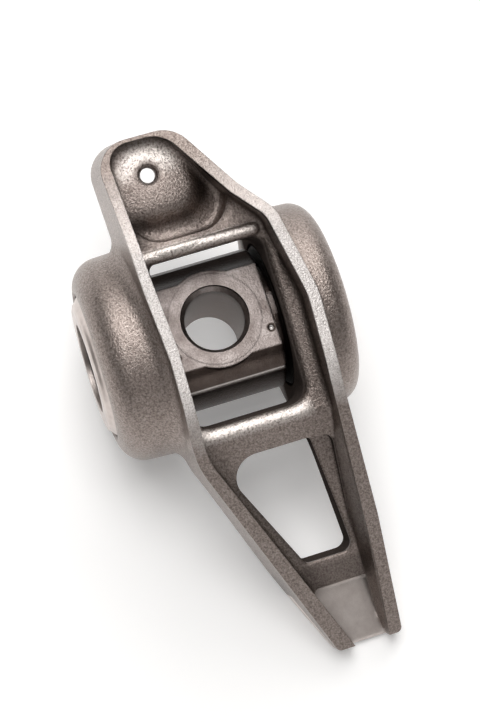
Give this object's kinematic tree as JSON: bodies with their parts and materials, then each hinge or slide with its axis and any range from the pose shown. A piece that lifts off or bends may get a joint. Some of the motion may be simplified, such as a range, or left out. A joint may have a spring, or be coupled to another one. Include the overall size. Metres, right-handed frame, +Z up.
{
  "type": "rocker arm",
  "caption": "Offset cast rocker arm with an open channel body, round bearing drums, a rocking trunnion with a bolt hole, and a slim valve tip.",
  "frame": {"origin": "on the pivot axis, where the vertical bolt hole of the trunnion crosses it", "axes": "+X towards the valve tip, +Y along the pivot axis towards the drum on the picture's right, +Z up the bolt hole"},
  "size_m": [0.0717, 0.035, 0.0345],
  "materials": {
    "cast_steel": "investment-cast steel, fine grain, with a ground rim",
    "trunnion_steel": "blasted sintered steel with a turned bolt hole",
    "cup_steel": "drawn steel, satin",
    "cage_steel": "pressed steel, oiled",
    "needle_steel": "ground and polished"
  },
  "bodies": {
    "arm": {"rocker_body": "cast_steel", "bearing_cup_left": "cup_steel", "bearing_cup_right": "cup_steel"},
    "trunnion": {"trunnion": "trunnion_steel"},
    "cage_left": {"needle_cage_left": "cage_steel"},
    "cage_right": {"needle_cage_right": "cage_steel"},
    "needle_left_01": {"needle_roller_left_01": "needle_steel"},
    "needle_left_02": {"needle_roller_left_02": "needle_steel"},
    "needle_left_03": {"needle_roller_left_03": "needle_steel"},
    "needle_left_04": {"needle_roller_left_04": "needle_steel"},
    "needle_left_05": {"needle_roller_left_05": "needle_steel"},
    "needle_left_06": {"needle_roller_left_06": "needle_steel"},
    "needle_left_07": {"needle_roller_left_07": "needle_steel"},
    "needle_left_08": {"needle_roller_left_08": "needle_steel"},
    "needle_left_09": {"needle_roller_left_09": "needle_steel"},
    "needle_left_10": {"needle_roller_left_10": "needle_steel"},
    "needle_left_11": {"needle_roller_left_11": "needle_steel"},
    "needle_left_12": {"needle_roller_left_12": "needle_steel"},
    "needle_left_13": {"needle_roller_left_13": "needle_steel"},
    "needle_left_14": {"needle_roller_left_14": "needle_steel"},
    "needle_right_01": {"needle_roller_right_01": "needle_steel"},
    "needle_right_02": {"needle_roller_right_02": "needle_steel"},
    "needle_right_03": {"needle_roller_right_03": "needle_steel"},
    "needle_right_04": {"needle_roller_right_04": "needle_steel"},
    "needle_right_05": {"needle_roller_right_05": "needle_steel"},
    "needle_right_06": {"needle_roller_right_06": "needle_steel"},
    "needle_right_07": {"needle_roller_right_07": "needle_steel"},
    "needle_right_08": {"needle_roller_right_08": "needle_steel"},
    "needle_right_09": {"needle_roller_right_09": "needle_steel"},
    "needle_right_10": {"needle_roller_right_10": "needle_steel"},
    "needle_right_11": {"needle_roller_right_11": "needle_steel"},
    "needle_right_12": {"needle_roller_right_12": "needle_steel"},
    "needle_right_13": {"needle_roller_right_13": "needle_steel"},
    "needle_right_14": {"needle_roller_right_14": "needle_steel"}
  },
  "joints": [
    {"name": "trunnion_rock", "type": "hinge", "parent": "arm", "child": "trunnion", "pos_m": [0, 0, 0], "axis": [0, 1, 0], "continuous": true},
    {"name": "cage_turn_left", "type": "hinge", "parent": "arm", "child": "cage_left", "pos_m": [0, -0.01265, 0], "axis": [0, 1, 0], "continuous": true},
    {"name": "cage_turn_right", "type": "hinge", "parent": "arm", "child": "cage_right", "pos_m": [0, 0.01265, 0], "axis": [0, 1, 0], "continuous": true},
    {"name": "needle_spin_left_01", "type": "hinge", "parent": "cage_left", "child": "needle_left_01", "pos_m": [0.008, -0.01265, 0], "axis": [0, 1, 0], "continuous": true},
    {"name": "needle_spin_left_02", "type": "hinge", "parent": "cage_left", "child": "needle_left_02", "pos_m": [0.00721, -0.01265, 0.00347], "axis": [0, 1, 0], "continuous": true},
    {"name": "needle_spin_left_03", "type": "hinge", "parent": "cage_left", "child": "needle_left_03", "pos_m": [0.00499, -0.01265, 0.00625], "axis": [0, 1, 0], "continuous": true},
    {"name": "needle_spin_left_04", "type": "hinge", "parent": "cage_left", "child": "needle_left_04", "pos_m": [0.00178, -0.01265, 0.0078], "axis": [0, 1, 0], "continuous": true},
    {"name": "needle_spin_left_05", "type": "hinge", "parent": "cage_left", "child": "needle_left_05", "pos_m": [-0.00178, -0.01265, 0.0078], "axis": [0, 1, 0], "continuous": true},
    {"name": "needle_spin_left_06", "type": "hinge", "parent": "cage_left", "child": "needle_left_06", "pos_m": [-0.00499, -0.01265, 0.00625], "axis": [0, 1, 0], "continuous": true},
    {"name": "needle_spin_left_07", "type": "hinge", "parent": "cage_left", "child": "needle_left_07", "pos_m": [-0.00721, -0.01265, 0.00347], "axis": [0, 1, 0], "continuous": true},
    {"name": "needle_spin_left_08", "type": "hinge", "parent": "cage_left", "child": "needle_left_08", "pos_m": [-0.008, -0.01265, 0], "axis": [0, 1, 0], "continuous": true},
    {"name": "needle_spin_left_09", "type": "hinge", "parent": "cage_left", "child": "needle_left_09", "pos_m": [-0.00721, -0.01265, -0.00347], "axis": [0, 1, 0], "continuous": true},
    {"name": "needle_spin_left_10", "type": "hinge", "parent": "cage_left", "child": "needle_left_10", "pos_m": [-0.00499, -0.01265, -0.00625], "axis": [0, 1, 0], "continuous": true},
    {"name": "needle_spin_left_11", "type": "hinge", "parent": "cage_left", "child": "needle_left_11", "pos_m": [-0.00178, -0.01265, -0.0078], "axis": [0, 1, 0], "continuous": true},
    {"name": "needle_spin_left_12", "type": "hinge", "parent": "cage_left", "child": "needle_left_12", "pos_m": [0.00178, -0.01265, -0.0078], "axis": [0, 1, 0], "continuous": true},
    {"name": "needle_spin_left_13", "type": "hinge", "parent": "cage_left", "child": "needle_left_13", "pos_m": [0.00499, -0.01265, -0.00625], "axis": [0, 1, 0], "continuous": true},
    {"name": "needle_spin_left_14", "type": "hinge", "parent": "cage_left", "child": "needle_left_14", "pos_m": [0.00721, -0.01265, -0.00347], "axis": [0, 1, 0], "continuous": true},
    {"name": "needle_spin_right_01", "type": "hinge", "parent": "cage_right", "child": "needle_right_01", "pos_m": [0.008, 0.01265, 0], "axis": [0, 1, 0], "continuous": true},
    {"name": "needle_spin_right_02", "type": "hinge", "parent": "cage_right", "child": "needle_right_02", "pos_m": [0.00721, 0.01265, 0.00347], "axis": [0, 1, 0], "continuous": true},
    {"name": "needle_spin_right_03", "type": "hinge", "parent": "cage_right", "child": "needle_right_03", "pos_m": [0.00499, 0.01265, 0.00625], "axis": [0, 1, 0], "continuous": true},
    {"name": "needle_spin_right_04", "type": "hinge", "parent": "cage_right", "child": "needle_right_04", "pos_m": [0.00178, 0.01265, 0.0078], "axis": [0, 1, 0], "continuous": true},
    {"name": "needle_spin_right_05", "type": "hinge", "parent": "cage_right", "child": "needle_right_05", "pos_m": [-0.00178, 0.01265, 0.0078], "axis": [0, 1, 0], "continuous": true},
    {"name": "needle_spin_right_06", "type": "hinge", "parent": "cage_right", "child": "needle_right_06", "pos_m": [-0.00499, 0.01265, 0.00625], "axis": [0, 1, 0], "continuous": true},
    {"name": "needle_spin_right_07", "type": "hinge", "parent": "cage_right", "child": "needle_right_07", "pos_m": [-0.00721, 0.01265, 0.00347], "axis": [0, 1, 0], "continuous": true},
    {"name": "needle_spin_right_08", "type": "hinge", "parent": "cage_right", "child": "needle_right_08", "pos_m": [-0.008, 0.01265, 0], "axis": [0, 1, 0], "continuous": true},
    {"name": "needle_spin_right_09", "type": "hinge", "parent": "cage_right", "child": "needle_right_09", "pos_m": [-0.00721, 0.01265, -0.00347], "axis": [0, 1, 0], "continuous": true},
    {"name": "needle_spin_right_10", "type": "hinge", "parent": "cage_right", "child": "needle_right_10", "pos_m": [-0.00499, 0.01265, -0.00625], "axis": [0, 1, 0], "continuous": true},
    {"name": "needle_spin_right_11", "type": "hinge", "parent": "cage_right", "child": "needle_right_11", "pos_m": [-0.00178, 0.01265, -0.0078], "axis": [0, 1, 0], "continuous": true},
    {"name": "needle_spin_right_12", "type": "hinge", "parent": "cage_right", "child": "needle_right_12", "pos_m": [0.00178, 0.01265, -0.0078], "axis": [0, 1, 0], "continuous": true},
    {"name": "needle_spin_right_13", "type": "hinge", "parent": "cage_right", "child": "needle_right_13", "pos_m": [0.00499, 0.01265, -0.00625], "axis": [0, 1, 0], "continuous": true},
    {"name": "needle_spin_right_14", "type": "hinge", "parent": "cage_right", "child": "needle_right_14", "pos_m": [0.00721, 0.01265, -0.00347], "axis": [0, 1, 0], "continuous": true}
  ],
  "couplings": [
    {"joint": "cage_turn_left", "follows": "trunnion_rock", "ratio": 0.4375},
    {"joint": "cage_turn_right", "follows": "trunnion_rock", "ratio": 0.4375},
    {"joint": "needle_spin_left_01", "follows": "trunnion_rock", "ratio": -4.0593},
    {"joint": "needle_spin_left_02", "follows": "trunnion_rock", "ratio": -4.0593},
    {"joint": "needle_spin_left_03", "follows": "trunnion_rock", "ratio": -4.0593},
    {"joint": "needle_spin_left_04", "follows": "trunnion_rock", "ratio": -4.0593},
    {"joint": "needle_spin_left_05", "follows": "trunnion_rock", "ratio": -4.0593},
    {"joint": "needle_spin_left_06", "follows": "trunnion_rock", "ratio": -4.0593},
    {"joint": "needle_spin_left_07", "follows": "trunnion_rock", "ratio": -4.0593},
    {"joint": "needle_spin_left_08", "follows": "trunnion_rock", "ratio": -4.0593},
    {"joint": "needle_spin_left_09", "follows": "trunnion_rock", "ratio": -4.0593},
    {"joint": "needle_spin_left_10", "follows": "trunnion_rock", "ratio": -4.0593},
    {"joint": "needle_spin_left_11", "follows": "trunnion_rock", "ratio": -4.0593},
    {"joint": "needle_spin_left_12", "follows": "trunnion_rock", "ratio": -4.0593},
    {"joint": "needle_spin_left_13", "follows": "trunnion_rock", "ratio": -4.0593},
    {"joint": "needle_spin_left_14", "follows": "trunnion_rock", "ratio": -4.0593},
    {"joint": "needle_spin_right_01", "follows": "trunnion_rock", "ratio": -4.0593},
    {"joint": "needle_spin_right_02", "follows": "trunnion_rock", "ratio": -4.0593},
    {"joint": "needle_spin_right_03", "follows": "trunnion_rock", "ratio": -4.0593},
    {"joint": "needle_spin_right_04", "follows": "trunnion_rock", "ratio": -4.0593},
    {"joint": "needle_spin_right_05", "follows": "trunnion_rock", "ratio": -4.0593},
    {"joint": "needle_spin_right_06", "follows": "trunnion_rock", "ratio": -4.0593},
    {"joint": "needle_spin_right_07", "follows": "trunnion_rock", "ratio": -4.0593},
    {"joint": "needle_spin_right_08", "follows": "trunnion_rock", "ratio": -4.0593},
    {"joint": "needle_spin_right_09", "follows": "trunnion_rock", "ratio": -4.0593},
    {"joint": "needle_spin_right_10", "follows": "trunnion_rock", "ratio": -4.0593},
    {"joint": "needle_spin_right_11", "follows": "trunnion_rock", "ratio": -4.0593},
    {"joint": "needle_spin_right_12", "follows": "trunnion_rock", "ratio": -4.0593},
    {"joint": "needle_spin_right_13", "follows": "trunnion_rock", "ratio": -4.0593},
    {"joint": "needle_spin_right_14", "follows": "trunnion_rock", "ratio": -4.0593}
  ]
}
